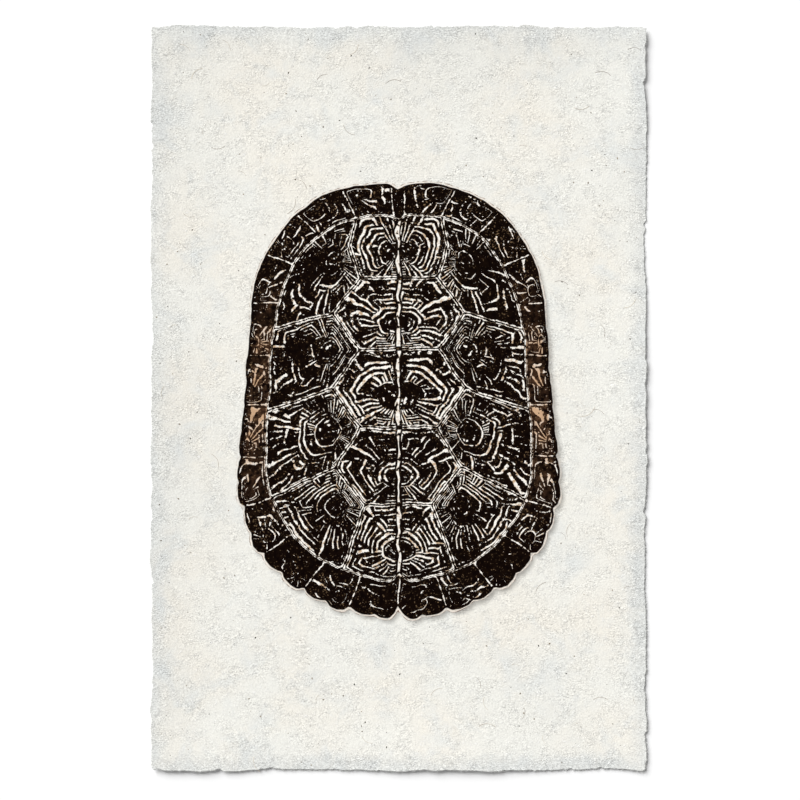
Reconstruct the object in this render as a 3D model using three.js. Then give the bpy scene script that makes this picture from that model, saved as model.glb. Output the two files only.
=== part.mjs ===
// A sheet of handmade cotton rag paper, 20 by 30 inches, that carries a printed picture of a turtle shell.
// The picture is ink only, so the solid is the bare sheet: one piece, as it left the paper maker's mould.
// It lies face up on a table, with +X to the picture's right, +Y to its top and +Z out of the printed face.
// The origin is on the table, under the middle of the sheet.
import * as THREE from "three";

// Driving dimensions, in millimetres
const MOULD_WIDTH = 504.6;
const MOULD_LENGTH = 759.2;
const CORNER_RADIUS = 4;
const THICKNESS = 0.6;
const EDGE_THICKNESS = 0.24;
const FEATHER_WIDTH = 14; // how far in from the edge the pulp thins out
const CURL_REACH = 110; // how far in from the edge the sheet lifts off the table
const CURL_HEIGHT = 2.4; // how high the edge stands on average
const CORNER_BLEND = 40; // how softly the lift of two edges joins at a corner

// The deckle edge wanders in and out: waves round the whole edge, the height and start of each
const DECKLE_WAVES = [
  { count: 9, height: 0.55, start: 0.4 },
  { count: 17, height: 0.5, start: 2.1 },
  { count: 31, height: 0.42, start: 4.4 },
  { count: 53, height: 0.32, start: 1.2 },
  { count: 89, height: 0.26, start: 5.3 },
];

// The lifted edge is cockled: waves that cross the sheet, with how long each is along X and along Y
const COCKLE_WAVES = [
  { alongX: 1 / 310, alongY: 0, height: 0.8, start: 0.6 },
  { alongX: 0, alongY: 1 / 420, height: 0.9, start: 2.2 },
  { alongX: 1 / 260, alongY: 1 / 330, height: 0.6, start: 1.0 },
];

// Where the mesh has its rings of points, measured in from the edge
const RING_INSETS = [0, 2.5, 7, 14, 30, 55, 84, 122];
const POINTS_ACROSS = 44;
const POINTS_ALONG = 66;
const POINTS_IN_CORNER = 4;
const CORNER_GROWTH = 0.55; // how much rounder a ring's corner gets for each millimetre further in
const PANEL_HALF_WIDTH = 80; // a plain rectangle in the middle of both faces, where the sheet lies flat
const PANEL_HALF_LENGTH = 180;

const wave = (turns, { height, start }) => height * Math.sin(2 * Math.PI * turns + start);

// How far in from the straight edges a point is. Near a corner the two distances melt into one.
function distanceIn(x, y) {
  const fromSide = MOULD_WIDTH / 2 - Math.abs(x);
  const fromEnd = MOULD_LENGTH / 2 - Math.abs(y);
  const blend = Math.max(CORNER_BLEND - Math.abs(fromSide - fromEnd), 0) / CORNER_BLEND;
  return Math.min(fromSide, fromEnd) - (blend * blend * CORNER_BLEND) / 4;
}

// The height of the underside over the table
function undersideHeight(x, y) {
  const share = Math.max(1 - distanceIn(x, y) / CURL_REACH, 0);
  const cockle = COCKLE_WAVES.reduce((sum, w) => sum + wave(x * w.alongX + y * w.alongY, w), 0);
  return (CURL_HEIGHT + cockle) * share * share;
}

// The sheet's thickness a given way in from the edge
function thicknessAt(inset) {
  return THREE.MathUtils.lerp(
    EDGE_THICKNESS,
    THICKNESS,
    THREE.MathUtils.smoothstep(inset, 0, FEATHER_WIDTH),
  );
}

// The points of one ring: a rectangle with round corners, anticlockwise from the lower right side
function ringPoints(inset) {
  const halfWidth = MOULD_WIDTH / 2 - inset;
  const halfLength = MOULD_LENGTH / 2 - inset;
  const radius = CORNER_RADIUS + CORNER_GROWTH * inset;
  const corners = [
    { x: halfWidth - radius, y: halfLength - radius, turn: 0, straight: POINTS_ALONG },
    { x: radius - halfWidth, y: halfLength - radius, turn: 0.5 * Math.PI, straight: POINTS_ACROSS },
    { x: radius - halfWidth, y: radius - halfLength, turn: Math.PI, straight: POINTS_ALONG },
    { x: halfWidth - radius, y: radius - halfLength, turn: 1.5 * Math.PI, straight: POINTS_ACROSS },
  ];
  const points = [];
  corners.forEach((corner, k) => {
    const before = corners[(k + 3) % 4];
    const outward = new THREE.Vector2(Math.cos(corner.turn), Math.sin(corner.turn));
    const from = new THREE.Vector2(before.x, before.y).addScaledVector(outward, radius);
    const to = new THREE.Vector2(corner.x, corner.y).addScaledVector(outward, radius);
    for (let i = 0; i < corner.straight; i++) {
      points.push(from.clone().lerp(to, i / corner.straight));
    }
    for (let i = 0; i < POINTS_IN_CORNER; i++) {
      const angle = corner.turn + (0.5 * Math.PI * i) / POINTS_IN_CORNER;
      const around = new THREE.Vector2(Math.cos(angle), Math.sin(angle));
      points.push(around.multiplyScalar(radius).add(corner));
    }
  });
  return points;
}

// The outermost ring wanders by the deckle waves, and the wander dies away over the feathered edge
function deckledRing(inset) {
  const points = ringPoints(inset);
  const share = 1 - THREE.MathUtils.smoothstep(inset, 0, FEATHER_WIDTH);
  return points.map((point, i) => {
    const before = points[(i + points.length - 1) % points.length];
    const after = points[(i + 1) % points.length];
    const outward = new THREE.Vector2(after.y - before.y, before.x - after.x).normalize();
    const wander = DECKLE_WAVES.reduce((sum, w) => sum + wave((w.count * i) / points.length, w), 0);
    return point.clone().addScaledVector(outward, wander * share);
  });
}

// The closed sheet: printed face, back, and the thin edge between them
function sheetGeometry() {
  const rings = RING_INSETS.map((inset) => deckledRing(inset));
  const panel = [
    new THREE.Vector2(-PANEL_HALF_WIDTH, -PANEL_HALF_LENGTH),
    new THREE.Vector2(PANEL_HALF_WIDTH, -PANEL_HALF_LENGTH),
    new THREE.Vector2(PANEL_HALF_WIDTH, PANEL_HALF_LENGTH),
    new THREE.Vector2(-PANEL_HALF_WIDTH, PANEL_HALF_LENGTH),
  ];
  const ringSize = rings[0].length;
  const last = rings.length - 1;
  const positions = [];
  const triangles = [];

  // Adds the points of one face, ring by ring and then the panel, and returns how to find each of them
  const addFace = (lift) => {
    const first = positions.length / 3;
    rings.forEach((ring, k) => {
      for (const { x, y } of ring) {
        positions.push(x, y, undersideHeight(x, y) + lift * thicknessAt(RING_INSETS[k]));
      }
    });
    for (const { x, y } of panel) {
      positions.push(x, y, lift * THICKNESS);
    }
    return {
      onRing: (ring, place) => first + ring * ringSize + (place % ringSize),
      inFlat: (place) => first + last * ringSize + place,
    };
  };
  const top = addFace(1);
  const back = addFace(0);

  // One triangle of the printed face, and its twin on the back, which is wound the other way
  const addBoth = (pick, a, b, c) => {
    triangles.push(pick(top, a), pick(top, b), pick(top, c));
    triangles.push(pick(back, a), pick(back, c), pick(back, b));
  };
  const onRings = (face, [ring, place]) => face.onRing(ring, place);
  for (let i = 0; i < ringSize; i++) {
    for (let k = 0; k < last; k++) {
      addBoth(onRings, [k, i], [k, i + 1], [k + 1, i + 1]);
      addBoth(onRings, [k, i], [k + 1, i + 1], [k + 1, i]);
    }
    triangles.push(back.onRing(0, i), back.onRing(0, i + 1), top.onRing(0, i + 1));
    triangles.push(back.onRing(0, i), top.onRing(0, i + 1), top.onRing(0, i));
  }

  // Inside the last ring both faces are flat, so few triangles close them
  const inFlat = (face, place) => face.inFlat(place);
  for (const [a, b, c] of THREE.ShapeUtils.triangulateShape(rings[last], [panel])) {
    addBoth(inFlat, a, b, c);
  }
  addBoth(inFlat, ringSize, ringSize + 1, ringSize + 2);
  addBoth(inFlat, ringSize, ringSize + 2, ringSize + 3);

  const geometry = new THREE.BufferGeometry();
  geometry.setAttribute("position", new THREE.Float32BufferAttribute(positions, 3));
  geometry.setIndex(triangles);
  geometry.computeBoundingBox();
  const middle = geometry.boundingBox.getCenter(new THREE.Vector3());
  geometry.translate(-middle.x, -middle.y, -geometry.boundingBox.min.z);
  geometry.computeVertexNormals();
  return geometry;
}

const handmadePaper = new THREE.MeshStandardMaterial({ color: "#ecebe3", roughness: 0.95, metalness: 0 });
const sheet = new THREE.Mesh(sheetGeometry(), handmadePaper);
sheet.name = "paper_sheet";

const print = new THREE.Group();
print.add(sheet);

export default print;
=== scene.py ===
# %% [markdown]
# # A print of a turtle shell on handmade paper
#
# The object is one sheet of cotton rag paper, about 508 by 762 mm, with a picture of a turtle's upper shell
# printed in dark ink. Three things make it look real: the feathered deckle edge, the tooth and specks of
# the paper, and ink that sits in that tooth. This notebook makes them in that order, round the frame that
# the CAD model gives.

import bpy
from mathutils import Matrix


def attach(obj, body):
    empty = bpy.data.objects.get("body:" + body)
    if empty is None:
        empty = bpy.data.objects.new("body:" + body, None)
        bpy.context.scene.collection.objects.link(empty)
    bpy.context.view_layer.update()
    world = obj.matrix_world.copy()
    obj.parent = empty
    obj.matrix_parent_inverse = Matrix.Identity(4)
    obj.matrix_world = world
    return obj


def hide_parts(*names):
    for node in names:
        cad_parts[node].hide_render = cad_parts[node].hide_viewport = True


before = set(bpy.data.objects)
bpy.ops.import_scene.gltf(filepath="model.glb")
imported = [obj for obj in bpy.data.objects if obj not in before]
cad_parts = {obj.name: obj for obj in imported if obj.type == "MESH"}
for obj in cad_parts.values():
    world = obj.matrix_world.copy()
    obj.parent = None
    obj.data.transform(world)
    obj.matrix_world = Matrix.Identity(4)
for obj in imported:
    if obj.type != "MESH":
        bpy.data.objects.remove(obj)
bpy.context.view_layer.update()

# %% Modules and units
import math

import bpy
import numpy as np
from mathutils import Vector, noise
from mathutils.geometry import delaunay_2d_cdt

MM = 0.001  # the sheet is worked out in millimetres, and the scene is in metres

# %% [markdown]
# ## The camera
#
# The photograph looks straight down on the sheet, with no lens tilt: opposite edges are parallel. A pixel
# of the photograph is 1.022 mm on the paper, so its 800 pixels are 818 mm across. A long lens from nearly
# two metres keeps the lifted edges from leaning. The sheet lies a little left of and above the middle of
# the picture.

# %% Camera
PHOTO_PIXELS = 800
MM_PER_PIXEL = 1.022
AIM = (1.5, -1.8)  # the spot of the sheet that the camera looks at, in mm from its middle
LENS = 85.0
SENSOR = 36.0
VIEW_REACH = 1000.0  # in metres, past the end of the floor

camera_data = bpy.data.cameras.new("photo camera")
camera_data.lens = LENS
camera_data.sensor_width = SENSOR
camera_data.clip_end = VIEW_REACH
camera = bpy.data.objects.new("photo camera", camera_data)
camera.location = (AIM[0] * MM, AIM[1] * MM, PHOTO_PIXELS * MM_PER_PIXEL * MM * LENS / SENSOR)
bpy.context.scene.collection.objects.link(camera)
bpy.context.scene.camera = camera
print("camera height in m:", round(camera.location.z, 3))

# %% [markdown]
# ## The deckle edge
#
# A sheet is formed by dipping a framed sieve into a vat of pulp. Pulp creeps under the loose frame, called
# the deckle, and dries as a thin edge that wanders. The CAD solid has the broad waves. Here the same waves
# are sampled more finely and smaller ones are added with noise, because noise has no repeat that the eye
# could find.

# %% The sheet's sizes, in millimetres
MOULD_WIDTH = 504.6
MOULD_LENGTH = 759.2
CORNER_RADIUS = 4.0
THICKNESS = 0.6
EDGE_THICKNESS = 0.24
FEATHER_WIDTH = 14.0
CURL_REACH = 110.0
CURL_HEIGHT = 2.4
CORNER_BLEND = 40.0

# Waves round the whole edge: how many, how high, where they start
DECKLE_WAVES = [(9, 0.55, 0.4), (17, 0.5, 2.1), (31, 0.42, 4.4), (53, 0.32, 1.2), (89, 0.26, 5.3)]
# Waves across the lifted edge: per mm along X, per mm along Y, how high, where they start
COCKLE_WAVES = [(1 / 310, 0, 0.8, 0.6), (0, 1 / 420, 0.9, 2.2), (1 / 260, 1 / 330, 0.6, 1.0)]
# Small irregularities of the deckle: how long and how high
DECKLE_NOISE = [(13.0, 0.75), (5.0, 0.6), (2.3, 0.5)]
NOTCH_LENGTH, NOTCH_DEPTH, NOTCH_RARITY = 8.0, 5.0, 0.36  # where the pulp broke away

PLACES_ALONG, PLACES_ACROSS, PLACES_IN_CORNER = 66, 44, 4  # what the CAD waves are counted by
FINE_ON_SIDES, FINE_IN_CORNERS = 10, 2


def noise_at(x, y, size, layer):
    """Smooth noise from about -1 to 1, whose lumps are about size mm across."""
    return noise.noise(Vector((x / size, y / size, 10.0 * layer)))


# %% The deckled outline
def mould_points():
    """The mould's edge, anticlockwise from low on the right: x, y, the way out, and how far round."""
    half_width, half_length = MOULD_WIDTH / 2 - CORNER_RADIUS, MOULD_LENGTH / 2 - CORNER_RADIUS
    corners = [(half_width, half_length), (-half_width, half_length), (-half_width, -half_length),
               (half_width, -half_length)]
    sides = [PLACES_ALONG, PLACES_ACROSS, PLACES_ALONG, PLACES_ACROSS]
    places = sum(sides) + 4 * PLACES_IN_CORNER
    place = 0
    for k, (corner, side) in enumerate(zip(corners, sides)):
        turn = k * math.pi / 2
        out = np.array([math.cos(turn), math.sin(turn)])
        start = np.array(corners[k - 1]) + CORNER_RADIUS * out
        end = np.array(corner) + CORNER_RADIUS * out
        for i in range(side * FINE_ON_SIDES):
            share = i / (side * FINE_ON_SIDES)
            yield (*(start + (end - start) * share), *out, (place + share * side) / places)
        place += side
        for i in range(PLACES_IN_CORNER * FINE_IN_CORNERS):
            share = i / (PLACES_IN_CORNER * FINE_IN_CORNERS)
            angle = turn + share * math.pi / 2
            out = np.array([math.cos(angle), math.sin(angle)])
            point = np.array(corner) + CORNER_RADIUS * out
            yield (*point, *out, (place + share * PLACES_IN_CORNER) / places)
        place += PLACES_IN_CORNER


def deckled_outline():
    """The outline of the finished sheet, wandering in and out of the mould's edge."""
    outline = []
    for x, y, out_x, out_y, share in mould_points():
        turn = 2 * math.pi * share
        wander = sum(high * math.sin(turn * count + start) for count, high, start in DECKLE_WAVES)
        wander += sum(high * noise_at(x, y, size, 1) for size, high in DECKLE_NOISE)
        wander -= NOTCH_DEPTH * max(noise_at(x, y, NOTCH_LENGTH, 9) - NOTCH_RARITY, 0)
        outline.append((x + out_x * wander, y + out_y * wander))
    outline = np.array(outline)
    return outline - (outline.max(0) + outline.min(0)) / 2


deckle = deckled_outline()
print("deckle points:", len(deckle), "size in mm:", np.round(np.ptp(deckle, axis=0), 1))

# %% [markdown]
# ## The plan of the shell
#
# A pond turtle's upper shell, the carapace, wears a fixed set of horny plates called scutes: a row of five
# vertebrals down the back, four costals on each side, and round the rim one small nuchal over the neck and
# twelve marginals on each side. The plan is drawn from that anatomy: one half of the contour and a few
# corners of the back row, mirrored, and then nudged by noise so that the halves aren't twins. The picture
# stays flat, so the plan only steers where ink goes.

# %% The shell's measures, in millimetres
CONTOUR = [(0, 214), (14, 219), (45, 217), (85, 203), (120, 172), (143, 128), (152, 70), (155, 10),
           (160, -50), (162, -90), (152, -130), (128, -168), (92, -197), (50, -213), (16, -220), (0, -212)]
SPINE_TOP, SPINE_BOTTOM = 90.0, -70.0  # the rim's width is measured towards this part of the midline
# By height on the sheet
RIM_WIDTH = [(-220, 34), (-150, 33), (-90, 27), (-20, 22), (60, 23), (140, 30), (220, 33)]
NUCHAL_HALF_WIDTH = 8.0
MARGINALS = 12
MARGINAL_LEAN = 0.5  # how far towards its outer hind corner a marginal's areola lies
CUSP_HEIGHT = 6.5
# Along one marginal, from its head end: the hind ones have two lobes with a notch between them
CUSP_SHAPE = [(0.0, 0.0), (0.1, 0.45), (0.28, 0.7), (0.42, 0.6), (0.5, 0.3), (0.6, 0.75), (0.78, 1.0),
              (0.92, 0.8), (1.0, 0.0)]
FIRST_CUSPED, FULLY_CUSPED = 5, 9  # the cusps grow from the one marginal to the other
PATH_STEP = 2.0

# The corners of the vertebral row on the right, from the head: its narrow and wide places take turns
BACK_ROW = [(50, 156), (40, 124), (68, 87), (40, 50), (68, 10), (40, -30), (64, -70), (34, -108)]
# Where the seams between scutes meet the rim, counted in marginals from the nuchal
FIRST_VERTEBRAL_MEETS = 1.0
COSTAL_SEAMS_MEET = [4.5, 6.1, 8.0]
LAST_VERTEBRAL_MEETS = 10.5


# %% Curves of the plan
def smooth_path(points, step):
    """A smooth curve through the points, with a point about every step mm."""
    p = np.array(points, float)
    padded = np.vstack([2 * p[0] - p[1], p, 2 * p[-1] - p[-2]])
    path = []
    for a, b, c, d in zip(padded, padded[1:], padded[2:], padded[3:]):
        t = np.linspace(0, 1, max(2, round(np.linalg.norm(c - b) / step)), endpoint=False)[:, None]
        bend = (2 * a - 5 * b + 4 * c - d) * t**2 + (3 * b - 3 * c + d - a) * t**3
        path.append(0.5 * (2 * b + (c - a) * t + bend))
    return np.vstack([*path, p[-1:]])


def seam(start, end):
    """A straight seam with a point about every PATH_STEP mm."""
    start, end = np.array(start, float), np.array(end, float)
    count = max(2, round(np.linalg.norm(end - start) / PATH_STEP))
    return start + (end - start) * np.linspace(0, 1, count + 1)[:, None]


contour = smooth_path(CONTOUR, PATH_STEP)
run = np.concatenate([[0], np.cumsum(np.linalg.norm(np.diff(contour, axis=0), axis=1))])
marginal_count = MARGINALS * (run - NUCHAL_HALF_WIDTH) / (run[-1] - NUCHAL_HALF_WIDTH)
spine = np.stack([0 * contour[:, 0], np.clip(contour[:, 1], SPINE_BOTTOM, SPINE_TOP)], 1)
way_out = (contour - spine) / np.linalg.norm(contour - spine, axis=1)[:, None]
cusp = np.interp(marginal_count % 1, *np.array(CUSP_SHAPE).T)
cusp *= CUSP_HEIGHT * np.interp(marginal_count, [FIRST_CUSPED, FULLY_CUSPED], [0, 1])
rim_edge = contour + way_out * cusp[:, None]
rim_line = contour - way_out * np.interp(contour[:, 1], *np.array(RIM_WIDTH).T)[:, None]
print("shell in mm:", round(2 * rim_edge[:, 0].max(), 1), "by", round(np.ptp(rim_edge[:, 1]), 1))


# %% The scutes
def rim_place(count):
    """The number of the rim point that is nearest to that many marginals from the nuchal."""
    return int(np.abs(marginal_count - count).argmin())


def chain(*paths):
    """Paths joined end to end, as one list of points without doubles."""
    points = np.vstack(paths)
    kept = np.linalg.norm(points - np.roll(points, 1, axis=0), axis=1) > 1e-6
    return points[kept]


def mirrored(path):
    """A path of the right half as it runs on the left half."""
    return path * (-1, 1)


def there_and_back(path):
    """A closed outline from its right half, which starts and ends on the midline."""
    return chain(path, mirrored(path[::-1]))


scutes = []  # each is its kind, its outline and its areola, the spot from which it grew


def middle_of(outline):
    """The middle of an outline's box."""
    return (outline.max(0) + outline.min(0)) / 2


def add_scute(kind, outline, lean, both_sides):
    """lean moves the areola from the middle, as shares of the scute's width and height."""
    areola = middle_of(outline) + np.ptp(outline, axis=0) * lean
    scutes.append((kind, outline, areola))
    if both_sides:
        scutes.append((kind, mirrored(outline), mirrored(areola)))


# The back row's zigzag, cut into the stretches between its corners
head_meets, tail_meets = rim_place(FIRST_VERTEBRAL_MEETS), rim_place(LAST_VERTEBRAL_MEETS)
row_corners = [rim_line[head_meets], *BACK_ROW, rim_line[tail_meets]]
zigzag = [seam(a, b) for a, b in zip(row_corners, row_corners[1:])]

# Vertebrals: the seams between them cross the midline at the narrow places
narrow = [row_corners[k] for k in (2, 4, 6, 8)]
crossings = [seam((0, y), (x, y)) for x, y in narrow]
first_half = chain(rim_line[:head_meets + 1], zigzag[0], zigzag[1], crossings[0][::-1])
add_scute("vertebral", there_and_back(first_half), (0, -0.12), False)
for k in range(3):
    half = chain(crossings[k], zigzag[2 + 2 * k], zigzag[3 + 2 * k], crossings[k + 1][::-1])
    add_scute("vertebral", there_and_back(half), (0, -0.14), False)
last_half = chain(crossings[3], zigzag[8], rim_line[tail_meets:])
add_scute("vertebral", there_and_back(last_half), (0, -0.1), False)

# Costals: the seams between them start at the wide places
wide = [3, 5, 7]
costal_meets = [FIRST_VERTEBRAL_MEETS, *COSTAL_SEAMS_MEET, LAST_VERTEBRAL_MEETS]
costal_seams = [seam(row_corners[k], rim_line[rim_place(m)]) for k, m in zip(wide, COSTAL_SEAMS_MEET)]
inner_sides = [zigzag[0:3], zigzag[3:5], zigzag[5:7], zigzag[7:9]]
for k in range(4):
    rim_side = rim_line[rim_place(costal_meets[k]):rim_place(costal_meets[k + 1]) + 1]
    below = [costal_seams[k][::-1]] if k < 3 else []
    above = [costal_seams[k - 1]] if k > 0 else []
    inner_side = [path[::-1] for path in reversed(inner_sides[k])]
    add_scute("costal", chain(rim_side, *below, *inner_side, *above), (-0.2, 0.12), True)

# The rim: the nuchal and the marginals
first = rim_place(0) + 1
rim_seams = [seam(rim_edge[rim_place(m)], rim_line[rim_place(m)]) for m in range(MARGINALS + 1)]
nuchal = chain(rim_edge[:first], rim_seams[0], rim_line[:first][::-1])
add_scute("nuchal", there_and_back(nuchal), (0, 0.1), False)
for m in range(MARGINALS):
    rim_part = slice(rim_place(m), rim_place(m + 1) + 1)
    around = chain(rim_edge[rim_part], rim_seams[m + 1], rim_line[rim_part][::-1], rim_seams[m][::-1])
    to_corner = (rim_edge[rim_place(m + 1)] - middle_of(around)) / np.ptp(around, axis=0)
    add_scute("marginal", around, MARGINAL_LEAN * to_corner, True)
print("scutes:", len(scutes))


# %% No two halves alike
NUDGES = [(70.0, 2.2), (22.0, 1.5), (7.0, 0.6)]  # how long and how far, in mm


def nudged(points):
    """The plan's points moved a little by noise. The same point always moves alike, so seams still meet."""
    return np.array([
        (x + sum(far * noise_at(x, y, size, 2) for size, far in NUDGES),
         y + sum(far * noise_at(x, y, size, 3) for size, far in NUDGES))
        for x, y in points
    ])


scutes = [(kind, nudged(outline), nudged([areola])[0]) for kind, outline, areola in scutes]
shell_edge = nudged(there_and_back(rim_edge))
print("points in the plan:", sum(len(outline) for _, outline, _ in scutes))

# %% [markdown]
# ## The sheet's mesh
#
# One triangulation covers the printed face. Its points are dense in the picture and near the deckle and
# sparser between them, and the seams of the plan are edges of it, so no triangle lies across a seam.
# Blender's constrained Delaunay triangulation makes exactly that from loose points and fixed edges. The
# back needs fewer points.

# %% Points on the faces
SHELL_SPACING = 2.4
PLAIN_SPACING = 3.1
EDGE_SPACING = 2.0
EDGE_BAND = 13.0
BACK_SPACING = 9.0


def staggered_points(spacing, seed):
    """Points all over the mould in rows like a honeycomb, each shaken a little."""
    rows = np.arange(-MOULD_LENGTH / 2, MOULD_LENGTH / 2, spacing * math.sqrt(3) / 2)
    columns = np.arange(-MOULD_WIDTH / 2, MOULD_WIDTH / 2, spacing)
    x, y = np.meshgrid(columns, rows)
    x[1::2] += spacing / 2
    shake = np.random.default_rng(seed).uniform(-0.16, 0.16, (*x.shape, 2)) * spacing
    return np.stack([x + shake[..., 0], y + shake[..., 1]], -1).reshape(-1, 2)


def segment_distance(points, outline):
    """How far each point is from a closed outline."""
    start = outline
    along = np.roll(outline, -1, axis=0) - start
    squared = (along**2).sum(1)
    nearest = np.empty(len(points))
    for part in range(0, len(points), 4000):
        away = points[part:part + 4000, None] - start
        t = np.clip((away * along).sum(2) / squared, 0, 1)
        nearest[part:part + 4000] = np.sqrt(((away - t[..., None] * along) ** 2).sum(2)).min(1)
    return nearest


def inside(points, outline):
    """Whether each point is inside a closed outline, by how many of its sides lie to the point's right."""
    result = np.zeros(len(points), bool)
    near = np.flatnonzero(((points > outline.min(0)) & (points < outline.max(0))).all(1))
    x, y = points[near, 0], points[near, 1]
    odd = np.zeros(len(near), bool)
    for (x0, y0), (x1, y1) in zip(outline, np.roll(outline, -1, axis=0)):
        if y0 != y1:
            odd ^= ((y0 > y) != (y1 > y)) & (x < (x1 - x0) * (y - y0) / (y1 - y0) + x0)
    result[near] = odd
    return result


def edge_depth(points):
    """How far in from the mould's straight edges each point is."""
    return np.minimum(MOULD_WIDTH / 2 - np.abs(points[:, 0]), MOULD_LENGTH / 2 - np.abs(points[:, 1]))


def face_points():
    """The printed face's own points, dense in the picture and along the deckle."""
    dense = staggered_points(SHELL_SPACING, 11)
    dense = dense[inside(dense, shell_edge)]
    plain = staggered_points(PLAIN_SPACING, 12)
    plain = plain[(edge_depth(plain) > EDGE_BAND) & ~inside(plain, shell_edge)]
    band = staggered_points(EDGE_SPACING, 13)
    band = band[edge_depth(band) <= EDGE_BAND]
    band = band[inside(band, deckle)]
    band = band[segment_distance(band, deckle) > 0.8 * EDGE_SPACING]
    return np.vstack([dense, plain, band])


loose = face_points()
print("points on the printed face:", len(loose))

# %% Triangulate
LIP = 0.7  # how far in from the deckle a row of points keeps the edge's roundness tight
LEAST_GAP = 0.35 * SHELL_SPACING  # a point nearer to a seam than this would make a needle of a triangle


def triangulated(points, outlines):
    """Vertices, triangles, and for each point of the first outline its vertex."""
    coordinates = np.vstack([*outlines, points])
    edges, first_point = [], 0
    for outline in outlines:
        ends = np.arange(len(outline))
        edges += np.stack([first_point + ends, first_point + np.roll(ends, -1)], 1).tolist()
        first_point += len(outline)
    made = delaunay_2d_cdt([Vector(p) for p in coordinates], edges, [], 1, 1e-5)
    came_from = {old: new for new, olds in enumerate(made[3]) for old in olds}
    border = np.array([came_from[i] for i in range(len(outlines[0]))])
    vertices = np.array([tuple(v) for v in made[0]])
    triangles = np.array(made[2])
    a, b, c = (vertices[triangles[:, k]] for k in range(3))
    turned = (b[:, 0] - a[:, 0]) * (c[:, 1] - a[:, 1]) < (b[:, 1] - a[:, 1]) * (c[:, 0] - a[:, 0])
    triangles[turned] = triangles[turned][:, ::-1]
    return vertices, triangles, border


def inner_lip():
    """The deckle's outline drawn in by LIP."""
    along = np.roll(deckle, -1, axis=0) - np.roll(deckle, 1, axis=0)
    inward = np.stack([-along[:, 1], along[:, 0]], 1) / np.linalg.norm(along, axis=1)[:, None]
    return deckle + LIP * inward


on_seams = np.vstack([outline for _, outline, _ in scutes])
clear = np.ones(len(loose), bool)
near_seams = np.flatnonzero(inside(loose, shell_edge * 1.02))
for part in range(0, len(near_seams), 2000):
    chosen = near_seams[part:part + 2000]
    away = np.abs(loose[chosen][:, None] - on_seams).max(2).min(1)
    clear[chosen] = away > LEAST_GAP
front, front_faces, front_border = triangulated(
    np.vstack([loose[clear], inner_lip()]), [deckle, *(outline for _, outline, _ in scutes)])

behind = staggered_points(BACK_SPACING, 14)
behind = behind[inside(behind, deckle * 0.985)]
back, back_faces, back_border = triangulated(np.vstack([behind, inner_lip()]), [deckle])
print("printed face:", len(front_faces), "triangles, back:", len(back_faces))


# %% Heights
# Lumps that the drying felts leave, and the rougher ones in the thin edge: how long and how high, in mm
TOOTH = [(34.0, 0.05), (11.0, 0.045), (6.5, 0.03)]
DECKLE_LUMPS = [(9.0, 0.12), (4.2, 0.09)]
EDGE_TOOTH_SHARE = 0.4  # how much of the tooth the thin edge has
BACK_TOOTH_SHARE = 0.6
LEAST_EDGE_SHARE = 0.6  # of the edge's thickness


def underside(x, y):
    """How high the bare sheet's back stands over the table, as in the CAD solid."""
    from_side, from_end = MOULD_WIDTH / 2 - abs(x), MOULD_LENGTH / 2 - abs(y)
    blend = max(CORNER_BLEND - abs(from_side - from_end), 0) / CORNER_BLEND
    depth = min(from_side, from_end) - blend * blend * CORNER_BLEND / 4
    share = max(1 - depth / CURL_REACH, 0)
    cockle = sum(
        high * math.sin(2 * math.pi * (x * along_x + y * along_y) + start)
        for along_x, along_y, high, start in COCKLE_WAVES)
    return (CURL_HEIGHT + cockle) * share * share


def lumps(x, y, sizes, layer):
    """Noise of several sizes, each a length and a height, added up."""
    return sum(high * noise_at(x, y, size, layer) for size, high in sizes)


def front_height(x, y, depth):
    """How high the printed face stands over the table, by the place and the way in from the edge."""
    feather = min(max(depth / FEATHER_WIDTH, 0), 1)
    thickness = EDGE_THICKNESS + (THICKNESS - EDGE_THICKNESS) * feather * feather * (3 - 2 * feather)
    rough = lumps(x, y, DECKLE_LUMPS, 5) * (1 - feather) * feather * 4 * 0.6
    tooth = lumps(x, y, TOOTH, 4) * (EDGE_TOOTH_SHARE + (1 - EDGE_TOOTH_SHARE) * feather)
    return underside(x, y) + thickness + tooth + rough


front_z = np.array([front_height(x, y, d) for (x, y), d in zip(front, edge_depth(front))])
back_z = np.array([underside(x, y) + abs(lumps(x, y, TOOTH, 6)) * BACK_TOOTH_SHARE for x, y in back])
edge_heights = back_z[back_border]
front_z[front_border] = np.maximum(front_z[front_border], edge_heights + LEAST_EDGE_SHARE * EDGE_THICKNESS)
print("edge stands", round(edge_heights.min(), 2), "to", round(edge_heights.max(), 2), "mm off the table")

# %% [markdown]
# ## What steers the ink
#
# Each scute grows from one spot, its areola, and adds a ring every season, so its old outlines lie nested
# in it, crossed by faint rays. The script doesn't paint those lines. It gives each triangle's corners a few
# numbers, such as how many rings lie between here and the areola and how far the next seam is, and the
# material turns the numbers into lines. The lines then stay crisp at any size, however coarse the mesh is.

# %% Fields on the printed face
RINGS = {"vertebral": 10.0, "costal": 11.0, "marginal": 6.0, "nuchal": 2.5}
RAYS = {"vertebral": 40, "costal": 52, "marginal": 20, "nuchal": 10}
ROUNDNESS = 0.85  # how much the youngest rings are ovals; the oldest has the scute's own corners
PLATE = {"vertebral": 1.0, "costal": 2.0, "marginal": 3.0, "nuchal": 3.0}
RING_WOBBLE = [(30.0, 0.6), (10.0, 0.34), (5.0, 0.16)]  # how long in mm, and how far in rings
RAY_WOBBLE = [(22.0, 0.5), (8.0, 0.3)]
FAR = 40.0
DEEPEST = 100.0  # how far in from the deckle the depth is counted
PAINTED_SHADOW_SHIFT = (3.0, -4.0)  # how far the painted shadow is moved from the shell, in mm


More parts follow.
